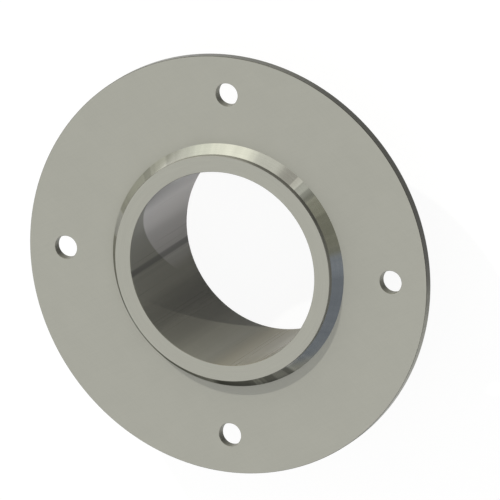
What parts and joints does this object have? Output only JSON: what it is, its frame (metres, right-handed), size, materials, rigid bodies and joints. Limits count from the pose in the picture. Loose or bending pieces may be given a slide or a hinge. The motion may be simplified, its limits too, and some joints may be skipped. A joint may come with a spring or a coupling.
{
  "type": "cable transit flange",
  "caption": "Round bolting flange welded around a short steel sleeve, which lines a wall opening and takes the seal that cables pass through.",
  "frame": {"origin": "on the bore's axis, in the plate's rear face, which seats on the wall", "axes": "+Z along the bore towards the front, the welded side; +X and +Y through bolt holes"},
  "size_m": [0.22, 0.22, 0.073],
  "materials": {
    "plate_steel": "satin, finely ground faces and dark cut edges",
    "sleeve_steel": "satin, drawn walls and ground ends, heat tinted beside the weld",
    "weld_steel": "bright, dressed smooth"
  },
  "bodies": {
    "root": {"flange_plate": "plate_steel", "sleeve": "sleeve_steel", "fillet_weld": "weld_steel"}
  },
  "joints": []
}
